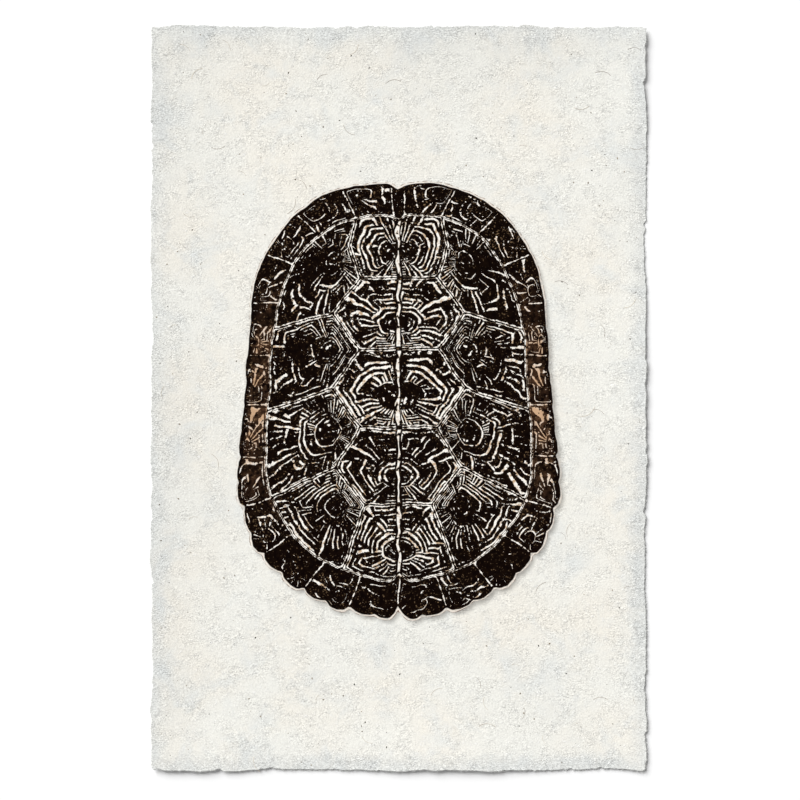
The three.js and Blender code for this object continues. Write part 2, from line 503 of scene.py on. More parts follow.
def signed_distance(points, outline):
    """How far inside the outline each point is, up to FAR. Outside it is negative."""
    distance = np.full(len(points), FAR)
    near = ((points > outline.min(0) - FAR) & (points < outline.max(0) + FAR)).all(1)
    distance[near] = np.minimum(segment_distance(points[near], outline), FAR)
    return np.where(inside(points, outline), distance, -distance)


def ring_share(points, outline, areola):
    """0 at the areola and 1 at the scute's outline, along the ray from the one to the other."""
    away = points - areola
    side = np.roll(outline, -1, axis=0) - outline
    start = outline - areola
    cross = away[:, None, 0] * side[:, 1] - away[:, None, 1] * side[:, 0]
    cross = np.where(np.abs(cross) < 1e-9, 1e-9, cross)
    ahead = (start[:, 0] * side[:, 1] - start[:, 1] * side[:, 0]) / cross
    across = (start[:, 0] * away[:, None, 1] - start[:, 1] * away[:, None, 0]) / cross
    hit = (ahead > 0) & (across > -1e-6) & (across < 1 + 1e-6)
    reach = np.where(hit, ahead, np.inf).min(1)
    return np.where(np.isfinite(reach), 1 / np.maximum(reach, 1e-6), 0).clip(0, 1)


corner_xy = front[front_faces]
face_middle = corner_xy.mean(1)
fields = {name: np.zeros(front_faces.shape) for name in ("ring", "growth", "ray", "plate")}
fields["seam"] = np.full(front_faces.shape, FAR)
ring_wobble = np.array([lumps(x, y, RING_WOBBLE, 7) for x, y in front])[front_faces]
ray_wobble = np.array([lumps(x, y, RAY_WOBBLE, 8) for x, y in front])[front_faces]
for kind, outline, areola in scutes:
    mine = np.flatnonzero(inside(face_middle, outline))
    corners = corner_xy[mine].reshape(-1, 2)
    shape = (len(mine), 3)
    ring = ring_share(corners, outline, areola)
    oval = np.linalg.norm((corners - areola) / (np.ptp(outline, axis=0) / 2), axis=1)
    ring = (ring + (oval - ring) * (1 - ring) * ROUNDNESS).clip(0, 1).reshape(shape)
    middle_angle = np.arctan2(*(face_middle[mine] - areola).T[::-1])[:, None]
    angle = np.arctan2(*(corners - areola).T[::-1]).reshape(shape)
    angle = middle_angle + (angle - middle_angle + math.pi) % (2 * math.pi) - math.pi
    fields["ring"][mine] = ring
    fields["growth"][mine] = ring * RINGS[kind] + ring_wobble[mine]
    fields["ray"][mine] = angle / (2 * math.pi) * RAYS[kind] + ray_wobble[mine]
    fields["plate"][mine] = PLATE[kind]
    fields["seam"][mine] = segment_distance(corners, outline).reshape(shape)
rim = signed_distance(front, shell_edge)
# Where the painted shadow of the shell falls: the distance to the shell's outline moved to the lower right
cast = signed_distance(front - PAINTED_SHADOW_SHIFT, shell_edge)
depth = edge_depth(front).clip(0, DEEPEST)
near_edge = np.flatnonzero(depth < EDGE_BAND)
depth[near_edge] = segment_distance(front[near_edge], deckle)
fields["rim"] = rim[front_faces]
fields["cast"] = cast[front_faces]
fields["depth"] = depth[front_faces]
print("triangles in the picture:", int((fields["plate"][:, 0] > 0).sum()))

# %% [markdown]
# ## One closed sheet
#
# The printed face, the back and the thin wall between them become one mesh with no open edge, as paper is
# one body. The mesh also gets a flat map: the printed face fills most of a square, so that a picture baked
# from the material keeps its fine lines, the wall lies round it, and the back has a narrow strip.

# %% Build the sheet
wall_top = front_border
wall_low = back_border + len(front)
wall = np.stack([wall_low, np.roll(wall_low, -1), np.roll(wall_top, -1), wall_top], 1)
vertices = np.vstack([np.column_stack([front, front_z]), np.column_stack([back, back_z])]) * MM
polygons = front_faces.tolist() + (back_faces[:, ::-1] + len(front)).tolist() + wall.tolist()

sheet_mesh = bpy.data.meshes.new("deckled_sheet")
sheet_mesh.from_pydata(vertices.tolist(), [], polygons)
sheet_mesh.polygons.foreach_set("use_smooth", [True] * len(polygons))
corner_count = len(sheet_mesh.loops)
outside_values = {"seam": FAR, "rim": -FAR, "cast": -FAR}
for name, values in fields.items():
    filled = np.full(corner_count, outside_values.get(name, 0.0), np.float32)
    filled[:values.size] = values.ravel()
    attribute = sheet_mesh.attributes.new(name, "FLOAT", "CORNER")
    attribute.data.foreach_set("value", filled)

# %% The flat map
MAP_MARGIN = 0.014
FRONT_SHARE = 0.79  # of the map's height
BACK_STRIP = (0.84, 0.988)
WALL_GAP = 0.006


def map_places(points, low, high):
    """Points of the sheet on the map: the long side runs along it, and the short side from low to high."""
    size = np.ptp(deckle, axis=0)
    along = MAP_MARGIN + (points[:, 1] / size[1] + 0.5) * (1 - 2 * MAP_MARGIN)
    across = high - (points[:, 0] / size[0] + 0.5) * (high - low)
    return np.stack([along, across], 1)


front_map = map_places(front, MAP_MARGIN, FRONT_SHARE)
back_map = map_places(back, *BACK_STRIP)
edge_map = front_map[front_border]
along_edge = np.roll(edge_map, -1, axis=0) - np.roll(edge_map, 1, axis=0)
outward = np.stack([along_edge[:, 1], -along_edge[:, 0]], 1)
outward *= WALL_GAP / np.linalg.norm(outward, axis=1)[:, None]
low_map = edge_map + outward
wall_map = np.stack([low_map, np.roll(low_map, -1, axis=0), np.roll(edge_map, -1, axis=0), edge_map], 1)
corner_map = np.vstack([
    part.reshape(-1, 2) for part in (front_map[front_faces], back_map[back_faces[:, ::-1]], wall_map)])
flat_map = sheet_mesh.uv_layers.new(name="OFBake")
flat_map.uv.foreach_set("vector", corner_map.astype(np.float32).ravel())
sheet_mesh.validate()

sheet = bpy.data.objects.new("deckled_sheet", sheet_mesh)
bpy.context.scene.collection.objects.link(sheet)
print("sheet:", len(sheet_mesh.vertices), "vertices,", len(polygons), "faces")

# %% [markdown]
# ## Materials: a helper and the colours
#
# A material is a small network of nodes. One helper adds a node, sets it and links it. Colours are written
# as they look on a screen and turned into the linear light that the renderer works in.

# %% Node helper and colour
def socket_of(sockets, key):
    """A node's socket by number, or by name among those in use."""
    if isinstance(key, int):
        return sockets[key]
    return next(s for s in sockets if s.enabled and s.name == key)


def add_node(tree, kind, feeds=None, **settings):
    """One node. feeds gives each input a value, a socket, or a node, whose first output in use is linked."""
    node = tree.nodes.new(kind)
    for name, value in settings.items():
        setattr(node, name, value)
    for key, value in (feeds or {}).items():
        if isinstance(value, bpy.types.Node):
            value = next(s for s in value.outputs if s.enabled)
        if isinstance(value, bpy.types.NodeSocket):
            tree.links.new(value, socket_of(node.inputs, key))
        else:
            socket_of(node.inputs, key).default_value = value
    return node


def linear(hex_colour):
    """An sRGB colour such as "#ecebe3" as linear red, green, blue and alpha."""
    parts = [int(hex_colour[i:i + 2], 16) / 255 for i in (1, 3, 5)]
    return (*(p / 12.92 if p <= 0.04045 else ((p + 0.055) / 1.055) ** 2.4 for p in parts), 1.0)


def new_material(name):
    """An empty material: its node tree, with nothing but an output."""
    material = bpy.data.materials.new(name)
    material.use_nodes = True
    material.node_tree.nodes.clear()
    output = add_node(material.node_tree, "ShaderNodeOutputMaterial")
    return material, material.node_tree, output


# %% [markdown]
# ## Cotton rag paper and pigment ink
#
# The paper is unbleached cotton: a broken white with soft clouds, some warm and some cool, a little greyer
# where the sheet is thin. Felt marks and fibre ends give it a tooth that scatters light, so it has no gloss
# at all. The ink is a warm black that soaks in: the eye gets a deep matt brown-black with fine pale grain
# where the tooth stayed bare.

# %% Where a point lies
sheet_paper, tree, output = new_material("cotton rag paper with pigment ink")
place = add_node(tree, "ShaderNodeTexCoord").outputs["Object"]
place_mm = add_node(
    tree, "ShaderNodeVectorMath", {0: place, 1: (1 / MM, 1 / MM, 1 / MM)}, operation="MULTIPLY")
across_and_up = add_node(tree, "ShaderNodeSeparateXYZ", {0: place_mm}).outputs
from_midline = add_node(tree, "ShaderNodeMath", {0: across_and_up["X"]}, operation="ABSOLUTE")
from_waist = add_node(tree, "ShaderNodeMath", {0: across_and_up["Y"]}, operation="ABSOLUTE")
folded_mm = add_node(tree, "ShaderNodeCombineXYZ", {"X": from_midline, "Y": across_and_up["Y"]})
steer = {}
for name in fields:
    steer[name] = add_node(tree, "ShaderNodeAttribute", attribute_name=name).outputs["Fac"]
print("the ink is steered by:", ", ".join(steer))

# %% Clouds of the pulp
WARM_CLOUD, COOL_CLOUD = 90.0, 45.0  # how many mm across
BAND_WANDER = 46.0  # in mm, for a noise of about 0 to 1

warm_clouds = add_node(
    tree, "ShaderNodeTexNoise", {"Vector": place_mm, "Scale": 1 / WARM_CLOUD, "Detail": 3.0})
cool_clouds = add_node(tree, "ShaderNodeTexNoise", {
    "Vector": place_mm, "Scale": 1 / COOL_CLOUD, "Detail": 4.0, "Roughness": 0.6, "Distortion": 0.4})
warmth = add_node(tree, "ShaderNodeMapRange", {"Value": warm_clouds, "From Min": 0.42, "From Max": 0.62})
coolness = add_node(tree, "ShaderNodeMapRange", {"Value": cool_clouds, "From Min": 0.5, "From Max": 0.74})

# The sheet is painted dimmer outwards, and greyer and cooler at the thin deckle as painted shade seen through
# the thin edge, in a band whose width wanders. The noise is mostly near a half, so the deckle itself is at
# about -24 here.
wandering_depth = add_node(
    tree, "ShaderNodeMath", {0: cool_clouds, 1: -BAND_WANDER, 2: steer["depth"]}, operation="MULTIPLY_ADD")
dimness = add_node(tree, "ShaderNodeMapRange", {
    "Value": wandering_depth, "From Min": -24.0, "From Max": 20.0, "To Min": 0.2, "To Max": 0.0})
thin_edge_and_shade = add_node(tree, "ShaderNodeMapRange", {
    "Value": wandering_depth, "From Min": -24.0, "From Max": 0.0, "To Min": 0.65, "To Max": dimness},
    interpolation_type="SMOOTHSTEP")

paper_colour = linear("#edece5")
# The last of these mixes is painted shade: it greys and cools the paper towards the deckle
for share, colour in ((warmth, "#efebe1"), (coolness, "#e3e5e2"), (thin_edge_and_shade, "#d6d9d8")):
    paper_colour = add_node(
        tree, "ShaderNodeMix", {"Factor": share, "A": paper_colour, "B": linear(colour)}, data_type="RGBA")

# %% Pits and fibres
PIT, CALM_PATCH = 1.2, 18.0  # how many mm across
FIBRE_LOOP, FIBRE_PATCH = 6.0, 5.0  # how many mm a fibre takes to bend round, and how large its breaks are

# Pits are pale and dark grain. The mould is shaken from side to side as it drains, so pits and fibres lie
# more across the sheet than along it. Where the pulp has settled well, the surface is calm.
shaken_mm = add_node(tree, "ShaderNodeVectorMath", {0: place_mm, 1: (0.78, 1.18, 1.0)}, operation="MULTIPLY")
pit_grain = add_node(tree, "ShaderNodeTexNoise", {
    "Vector": shaken_mm, "Scale": 1 / PIT, "Detail": 0.6, "Roughness": 0.5, "Distortion": 0.8})
settling = add_node(tree, "ShaderNodeTexNoise", {"Vector": place_mm, "Scale": 1 / CALM_PATCH, "Detail": 0.8})
grain_patches, tooth_strength = (
    add_node(tree, "ShaderNodeMapRange", {
        "Value": settling, "From Min": 0.36, "From Max": 0.64, "To Min": calm, "To Max": pitted})
    for calm, pitted in ((0.4, 1.25), (0.55, 1.0)))
pits = add_node(tree, "ShaderNodeMapRange", {
    "Value": pit_grain, "From Min": 0.3, "From Max": 0.7, "To Min": 0.845, "To Max": 1.135})
grain_strength = add_node(
    tree, "ShaderNodeMath", {0: thin_edge_and_shade, 1: 1.3, 2: grain_patches}, operation="MULTIPLY_ADD")
paper_colour = add_node(
    tree, "ShaderNodeMix", {"Factor": grain_strength, "A": paper_colour, "B": pits},
    data_type="RGBA", blend_type="MULTIPLY", clamp_factor=False)

# Long cotton fibres lie in the surface: thin ridges, here and there, where a broad noise passes its middle
fibre_field = add_node(tree, "ShaderNodeTexNoise", {
    "Vector": shaken_mm, "Scale": 1 / FIBRE_LOOP, "Detail": 2.0, "Distortion": 1.5})
off_fibre = add_node(tree, "ShaderNodeMath", {0: fibre_field, 1: -0.5}, operation="ADD")
off_fibre = add_node(tree, "ShaderNodeMath", {0: off_fibre}, operation="ABSOLUTE")
fibre_patches = add_node(
    tree, "ShaderNodeTexNoise", {"Vector": place_mm, "Scale": 1 / FIBRE_PATCH, "Detail": 2.0})
fibre_breaks = add_node(tree, "ShaderNodeMapRange", {
    "Value": fibre_patches, "From Min": 0.42, "From Max": 0.56, "To Max": 0.5})
fibres = add_node(tree, "ShaderNodeMapRange", {
    "Value": off_fibre, "From Min": 0.0, "From Max": 0.024, "To Min": fibre_breaks, "To Max": 0.0})
paper_colour = add_node(
    tree, "ShaderNodeMix", {"Factor": fibres, "A": paper_colour, "B": linear("#ffffff")}, data_type="RGBA")

# %% [markdown]
# The lines of the shell are a wave across the rings plus noise of four dimensions. The noise is read at a
# point's place and, in the fourth dimension, at its ring number, so that it changes quickly across the
# rings and slowly along them. What lies above a threshold is left pale. This gives rings that swell, fork
# and break as growth rings do. In some patches away from the areola the same is done with the rays' number,
# and the areola itself is granular. The broad noises are read at the mirrored place on the left half,
# because an animal's two sides grow alike.

# %% The grain of the print, and where on the shell a point is
GRAIN, SPECK, COARSE_GRAIN = 2.2, 1.6, 5.0  # how many mm across
BOLDNESS_SPAN, PATCH_SPAN = 36.0, 22.0

grain = add_node(tree, "ShaderNodeTexNoise", {
    "Vector": place_mm, "Scale": 1 / GRAIN, "Detail": 1.0, "Roughness": 0.6})
speck_grain, coarse_grain, boldness, patches = (
    add_node(tree, "ShaderNodeTexNoise", {"Vector": where, "Scale": 1 / span, "Detail": detail})
    for where, span, detail in (
        (place_mm, SPECK, 1.0), (place_mm, COARSE_GRAIN, 3.0),
        (folded_mm, BOLDNESS_SPAN, 2.0), (folded_mm, PATCH_SPAN, 1.0)))

on_rim = add_node(tree, "ShaderNodeMapRange", {"Value": steer["plate"], "From Min": 2.4, "From Max": 2.6})
on_back_row = add_node(tree, "ShaderNodeMath", {0: steer["plate"], 1: 1.0, 2: 0.4}, operation="COMPARE")

# %% Rings, rays and areolas
LINE_DRIFT = 46.0  # how far along a ring its line stays alike, in mm

in_ray_patch = add_node(tree, "ShaderNodeMath", {0: patches, 1: 0.515}, operation="GREATER_THAN")
off_areola = add_node(tree, "ShaderNodeMath", {0: steer["ring"], 1: 0.32}, operation="GREATER_THAN")
on_rays = add_node(tree, "ShaderNodeMath", {0: in_ray_patch, 1: off_areola}, operation="MULTIPLY")
number = add_node(
    tree, "ShaderNodeMix", {"Factor": on_rays, "A": steer["growth"], "B": steer["ray"]}, data_type="FLOAT")
angle = add_node(tree, "ShaderNodeMath", {0: number, 1: 2 * math.pi}, operation="MULTIPLY")
wave = add_node(tree, "ShaderNodeMath", {0: angle}, operation="SINE")
fourth = add_node(tree, "ShaderNodeMath", {0: number, 1: 2 * LINE_DRIFT}, operation="MULTIPLY")
streaks = add_node(
    tree, "ShaderNodeTexNoise",
    {"Vector": folded_mm, "W": fourth, "Scale": 1 / LINE_DRIFT, "Detail": 1.5, "Roughness": 0.6},
    noise_dimensions="4D")
streaks = add_node(tree, "ShaderNodeMath", {0: wave, 1: 0.16, 2: streaks}, operation="MULTIPLY_ADD")
granular = add_node(tree, "ShaderNodeMapRange", {
    "Value": steer["ring"], "From Min": 0.08, "From Max": 0.28, "To Min": 0.9, "To Max": 0.0})
streaks = add_node(
    tree, "ShaderNodeMix", {"Factor": granular, "A": streaks, "B": coarse_grain}, data_type="FLOAT")

# %% The stain and the lines
# The flanks of the rim keep a tan stain, inside a dark outer edge, and more of their lines stay pale
stain = add_node(tree, "ShaderNodeMapRange", {
    "Value": from_waist, "From Min": 50.0, "From Max": 130.0, "To Min": 1.0, "To Max": 0.0})
stain_edge = add_node(tree, "ShaderNodeMapRange", {"Value": steer["rim"], "From Min": 3.0, "From Max": 7.0})
stain_patches = add_node(tree, "ShaderNodeMapRange", {
    "Value": patches, "From Min": 0.38, "From Max": 0.58, "To Min": 0.25})
for share in (stain_edge, stain_patches, on_rim):
    stain = add_node(tree, "ShaderNodeMath", {0: stain, 1: share}, operation="MULTIPLY")

# How much each thing adds to the level, above which the paper stays bare
LEVEL_SHARES = [(grain, 0.18), (speck_grain, 0.26), (coarse_grain, 0.25), (boldness, 0.28), (on_rim, -0.045),
                (on_back_row, 0.06), (stain, 0.12)]
level = streaks
for part, share in LEVEL_SHARES:
    level = add_node(tree, "ShaderNodeMath", {0: part, 1: share, 2: level}, operation="MULTIPLY_ADD")
lines = add_node(tree, "ShaderNodeMapRange", {"Value": level, "From Min": 1.162, "From Max": 1.17})

# Single grains took half of the ink, a few more of them on the rim, some faint and some bright
speck_level = speck_grain
for part, share in ((boldness, 0.25), (on_rim, 0.01)):
    speck_level = add_node(
        tree, "ShaderNodeMath", {0: part, 1: share, 2: speck_level}, operation="MULTIPLY_ADD")
speck_strength = add_node(tree, "ShaderNodeMapRange", {
    "Value": coarse_grain, "From Min": 0.38, "From Max": 0.66, "To Min": 0.0, "To Max": 0.8})
specks = add_node(tree, "ShaderNodeMapRange", {
    "Value": speck_level, "From Min": 0.78, "From Max": 0.8, "To Max": speck_strength})

# %% Seams
# A thin broken line runs 1.2 mm inside each scute's edge, so two lie side by side at a seam. On the rim they
# fall together into one.
seam_margin = add_node(tree, "ShaderNodeMapRange", {"Value": steer["seam"], "From Min": 2.0, "From Max": 2.6})
lines = add_node(tree, "ShaderNodeMath", {0: lines, 1: seam_margin}, operation="MULTIPLY")
seam_width = add_node(tree, "ShaderNodeMapRange", {
    "Value": coarse_grain, "From Min": 0.4, "From Max": 0.58, "To Min": 0.05, "To Max": 0.7})
seam_offset = add_node(tree, "ShaderNodeMapRange", {"Value": on_rim, "To Min": 1.2, "To Max": 0.0})
seam_wobble = add_node(tree, "ShaderNodeMath", {0: grain, 1: 1.6, 2: steer["seam"]}, operation="MULTIPLY_ADD")
seam_mm = add_node(tree, "ShaderNodeMath", {0: seam_wobble, 1: -0.8}, operation="ADD")
seam_line = add_node(tree, "ShaderNodeMath", {0: seam_mm, 1: seam_offset, 2: seam_width}, operation="COMPARE")
off_contour = add_node(tree, "ShaderNodeMath", {0: steer["rim"], 1: 2.5}, operation="GREATER_THAN")
seam_line = add_node(tree, "ShaderNodeMath", {0: seam_line, 1: off_contour}, operation="MULTIPLY")
lines = add_node(tree, "ShaderNodeMath", {0: lines, 1: seam_line}, operation="MAXIMUM")

# %% Keel
# The ridge along the back row: a pale line of changing width in a dark groove, which wanders from the midline
keel_wander = add_node(
    tree, "ShaderNodeMath", {0: patches, 1: 9.0, 2: across_and_up["X"]}, operation="MULTIPLY_ADD")
keel_mm = add_node(tree, "ShaderNodeMath", {0: keel_wander, 1: -4.5}, operation="ADD")
keel_mm = add_node(tree, "ShaderNodeMath", {0: keel_mm}, operation="ABSOLUTE")
off_back_row = add_node(tree, "ShaderNodeMath", {0: 1.0, 1: on_back_row}, operation="SUBTRACT")
keel_groove = add_node(tree, "ShaderNodeMapRange", {"Value": keel_mm, "From Min": 3.2, "From Max": 4.0})
keel_groove = add_node(tree, "ShaderNodeMath", {0: keel_groove, 1: off_back_row}, operation="MAXIMUM")
lines = add_node(tree, "ShaderNodeMath", {0: lines, 1: keel_groove}, operation="MULTIPLY")
keel_width = add_node(tree, "ShaderNodeMapRange", {
    "Value": boldness, "From Min": 0.4, "From Max": 0.62, "To Min": 0.4, "To Max": 2.2})
keel_line = add_node(tree, "ShaderNodeMath", {0: keel_mm, 1: keel_width}, operation="LESS_THAN")
keel_breaks = add_node(tree, "ShaderNodeMath", {0: coarse_grain, 1: 0.42}, operation="GREATER_THAN")
for share in (keel_breaks, on_back_row, seam_margin):
    keel_line = add_node(tree, "ShaderNodeMath", {0: keel_line, 1: share}, operation="MULTIPLY")
lines = add_node(tree, "ShaderNodeMath", {0: lines, 1: keel_line}, operation="MAXIMUM")

# %% Ink colours
ink_shade = add_node(tree, "ShaderNodeMapRange", {"Value": coarse_grain, "From Min": 0.35, "From Max": 0.7})
dark_ink = add_node(
    tree, "ShaderNodeMix", {"Factor": ink_shade, "A": linear("#080201"), "B": linear("#150a04")},
    data_type="RGBA")
pale_shade = add_node(tree, "ShaderNodeMapRange", {"Value": coarse_grain, "From Min": 0.36, "From Max": 0.54})
pale_ink = add_node(
    tree, "ShaderNodeMix", {"Factor": pale_shade, "A": linear("#c4a888"), "B": linear("#fbf6ee")},
    data_type="RGBA")
stained_dark = add_node(
    tree, "ShaderNodeMix", {"Factor": ink_shade, "A": dark_ink, "B": linear("#573d2b")}, data_type="RGBA")
ink, pale_ink = (
    add_node(tree, "ShaderNodeMix", {"Factor": stain, "A": plain, "B": stained}, data_type="RGBA")
    for plain, stained in ((dark_ink, stained_dark), (pale_ink, linear("#caa684"))))
for share, colour in ((specks, linear("#8a7052")), (lines, pale_ink)):
    ink = add_node(tree, "ShaderNodeMix", {"Factor": share, "A": ink, "B": colour}, data_type="RGBA")

# %% The picture's edge on the paper
# Round the shell a soft shadow is painted on the paper, moved to the lower right as the shell's drop shadow,
# and a pale halo and, in the halo, a broken brown hairline are printed
painted_shadow = add_node(tree, "ShaderNodeMapRange", {
    "Value": steer["cast"], "From Min": -4.5, "From Max": 3.5, "To Min": 0.0, "To Max": 0.6},
    interpolation_type="SMOOTHSTEP")
halo_strength = add_node(tree, "ShaderNodeMapRange", {
    "Value": from_waist, "From Min": 60.0, "From Max": 120.0, "To Min": 0.2, "To Max": 0.85})
halo_mm = add_node(tree, "ShaderNodeMath", {0: patches, 1: 5.0, 2: steer["rim"]}, operation="MULTIPLY_ADD")
halo_gaps = add_node(tree, "ShaderNodeMapRange", {
    "Value": coarse_grain, "From Min": 0.4, "From Max": 0.52, "To Min": 0.35})
halo_share = add_node(tree, "ShaderNodeMath", {0: halo_strength, 1: halo_gaps}, operation="MULTIPLY")
on_halo = add_node(tree, "ShaderNodeMapRange", {
    "Value": halo_mm, "From Min": 0.5, "From Max": 1.1, "To Min": 0.0, "To Max": halo_share})
hairline = add_node(tree, "ShaderNodeMath", {0: halo_mm, 1: 0.8, 2: 0.3}, operation="COMPARE")
hairline_breaks = add_node(tree, "ShaderNodeMapRange", {
    "Value": coarse_grain, "From Min": 0.42, "From Max": 0.6, "To Max": halo_strength})
hairline = add_node(tree, "ShaderNodeMath", {0: hairline, 1: hairline_breaks}, operation="MULTIPLY")
in_shell = add_node(tree, "ShaderNodeMapRange", {"Value": steer["rim"], "From Min": -0.2, "From Max": 0.2})

printed = paper_colour
# The paper is first darkened by the painted shadow, and the printed halo, hairline and ink then go over it
for share, colour in (
        (painted_shadow, linear("#5b5651")), (on_halo, linear("#efe5d9")), (hairline, linear("#6f4f3d")),
        (in_shell, ink)):
    printed = add_node(tree, "ShaderNodeMix", {"Factor": share, "A": printed, "B": colour}, data_type="RGBA")

# %% Tooth and shader
FELT_MARK = 2.5  # how many mm across
TOOTH_DEPTH = 0.66 * MM

felt_marks = add_node(tree, "ShaderNodeTexNoise", {"Vector": place_mm, "Scale": 1 / FELT_MARK, "Detail": 2.0})
tooth = fibres
for part, share in ((pit_grain, 0.7), (felt_marks, 0.12)):
    tooth = add_node(tree, "ShaderNodeMath", {0: part, 1: share, 2: tooth}, operation="MULTIPLY_ADD")
bump = add_node(
    tree, "ShaderNodeBump", {"Strength": tooth_strength, "Distance": TOOTH_DEPTH, "Height": tooth})
shader = add_node(tree, "ShaderNodeBsdfPrincipled", {
    "Base Color": printed, "Roughness": 0.95, "Specular IOR Level": 0.04, "Normal": bump})
tree.links.new(shader.outputs[0], output.inputs["Surface"])
sheet_mesh.materials.append(sheet_paper)
print("nodes in the sheet's material:", len(tree.nodes))

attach(sheet, "root")
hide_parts("paper_sheet")

# %% [markdown]
# ## Specks, hairs and the fringe
#
# Handmade pulp keeps what the vat lets through: bark flecks, a few plant hairs, and fibre ends that stand
# out of the deckle. They are small, many and alike, so Geometry Nodes scatter them. Each tree has its sizes
# as inputs and a fixed seed, and its result is turned into a plain mesh.

# %% Trees and how they run
def new_tree(name, sizes):
    """A geometry tree with a mesh going in and out, and one input for each size."""
    tree = bpy.data.node_groups.new(name, "GeometryNodeTree")
    tree.interface.new_socket("Geometry", in_out="INPUT", socket_type="NodeSocketGeometry")
    tree.interface.new_socket("Geometry", in_out="OUTPUT", socket_type="NodeSocketGeometry")
    for size in sizes:
        kind = "NodeSocketInt" if size == "Seed" else "NodeSocketFloat"
        tree.interface.new_socket(size, in_out="INPUT", socket_type=kind)
    return tree, add_node(tree, "NodeGroupInput").outputs


def finish_tree(tree, instances, seed, material):
    """Gives each copy its own tint, makes the copies real and ends the tree."""
    tint = add_node(tree, "FunctionNodeRandomValue", {"Seed": seed}, data_type="FLOAT")
    tinted = add_node(
        tree, "GeometryNodeStoreNamedAttribute", {"Geometry": instances, "Name": "tint", "Value": tint},
        data_type="FLOAT", domain="INSTANCE")
    real = add_node(tree, "GeometryNodeRealizeInstances", {"Geometry": tinted})
    painted = add_node(tree, "GeometryNodeSetMaterial", {"Geometry": real, "Material": material})
    add_node(tree, "NodeGroupOutput", {"Geometry": painted})


def grow(name, carrier, tree, sizes):
    """Runs a tree on a carrier mesh and leaves its result as a plain mesh that rides with the sheet."""
    piece = bpy.data.objects.new(name, carrier)
    bpy.context.scene.collection.objects.link(piece)
    modifier = piece.modifiers.new("grow", "NODES")
    modifier.node_group = tree
    for item in tree.interface.items_tree:
        if item.in_out == "INPUT" and item.name in sizes:
            modifier[item.identifier] = sizes[item.name]
    evaluated = piece.evaluated_get(bpy.context.evaluated_depsgraph_get())
    plain = bpy.data.meshes.new_from_object(evaluated)
    piece.modifiers.clear()
    piece.data = plain
    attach(piece, "root")
    print(name, "has", len(plain.polygons), "faces")


# %% What the trees share
def turned_at_random(tree, rotation, least, most, seed):
    """A rotation followed by a random turn about its own upright."""
    angle = add_node(
        tree, "FunctionNodeRandomValue", {"Min": least, "Max": most, "Seed": seed}, data_type="FLOAT")
    spin = add_node(tree, "FunctionNodeAxisAngleToRotation", {"Axis": (0, 0, 1), "Angle": angle})
    return add_node(
        tree, "FunctionNodeRotateRotation", {"Rotation": rotation, "Rotate By": spin}, rotation_space="LOCAL")


def stalk(tree, points, length, steps, thickness, sides):
    """A thin closed tube along a bow, whose start, middle and end are given as shares of a length."""
    start, middle, end = (
        add_node(tree, "ShaderNodeVectorMath", {0: point, "Scale": length}, operation="SCALE")
        for point in points)
    bow = add_node(tree, "GeometryNodeCurveQuadraticBezier", {
        "Resolution": steps, "Start": start, "Middle": middle, "End": end})
    radius = add_node(tree, "ShaderNodeMath", {0: thickness, 1: 0.5}, operation="MULTIPLY")
    section = add_node(tree, "GeometryNodeCurvePrimitiveCircle", {"Resolution": sides, "Radius": radius})
    return add_node(
        tree, "GeometryNodeCurveToMesh", {"Curve": bow, "Profile Curve": section, "Fill Caps": True})


# %% Materials of the small things
def tinted_material(name, dark, pale):
    """A dull fibre whose copies range from dark to pale by their tint."""
    material, tree, output = new_material(name)
    tint = add_node(tree, "ShaderNodeAttribute", attribute_name="tint").outputs["Fac"]
    colour = add_node(
        tree, "ShaderNodeMix", {"Factor": tint, "A": linear(dark), "B": linear(pale)}, data_type="RGBA")
    shader = add_node(tree, "ShaderNodeBsdfPrincipled", {"Base Color": colour, "Roughness": 0.9})
    tree.links.new(shader.outputs[0], output.inputs["Surface"])
    return material


# Bark is nearly black when it is fresh and straw-coloured when the vat has leached it
bark = tinted_material("bark fleck", "#1c1510", "#9a8b76")
# Plant hairs are dry stems, dull brown to straw
plant_hair = tinted_material("dry plant hair", "#5e4530", "#d3c6b1")
# Pulp ends are bare cotton, as white as the sheet
cotton = tinted_material("loose cotton fibre", "#e4e5e2", "#f3f2ec")

# %% Where the flecks lie: the bare paper of the printed face
CLEAR_OF_SHELL = 8.0
CLEAR_OF_EDGE = 3.0

bare = (fields["rim"].max(1) < -CLEAR_OF_SHELL) & (fields["depth"].min(1) > CLEAR_OF_EDGE)
bare_mesh = bpy.data.meshes.new("bare paper")
bare_mesh.from_pydata((np.column_stack([front, front_z]) * MM).tolist(), [], front_faces[bare].tolist())
print("triangles of bare paper:", int(bare.sum()))

# %% Bark flecks
CHIP_SHAPE = (1.0, 0.6, 0.22)  # a flat oval
RARITY_OF_LARGE = 2.5

tree, size = new_tree("bark flecks", ["Per Square Metre", "Seed", "Smallest", "Largest"])
spots = add_node(tree, "GeometryNodeDistributePointsOnFaces", {
    "Mesh": size["Geometry"], "Density": size["Per Square Metre"], "Seed": size["Seed"]})
chip = add_node(tree, "GeometryNodeMeshIcoSphere", {"Radius": 1.0, "Subdivisions": 2})
chip = add_node(tree, "GeometryNodeTransform", {"Geometry": chip, "Scale": CHIP_SHAPE})
turn = turned_at_random(tree, spots.outputs["Rotation"], 0.0, 2 * math.pi, size["Seed"])
chance = add_node(tree, "FunctionNodeRandomValue", {"Seed": 5}, data_type="FLOAT")
chance = add_node(tree, "ShaderNodeMath", {0: chance, 1: RARITY_OF_LARGE}, operation="POWER")
radius = add_node(tree, "ShaderNodeMapRange", {
    "Value": chance, "To Min": size["Smallest"], "To Max": size["Largest"]})
flecks = add_node(tree, "GeometryNodeInstanceOnPoints", {
    "Points": spots, "Instance": chip, "Rotation": turn, "Scale": radius})
finish_tree(tree, flecks, size["Seed"], bark)
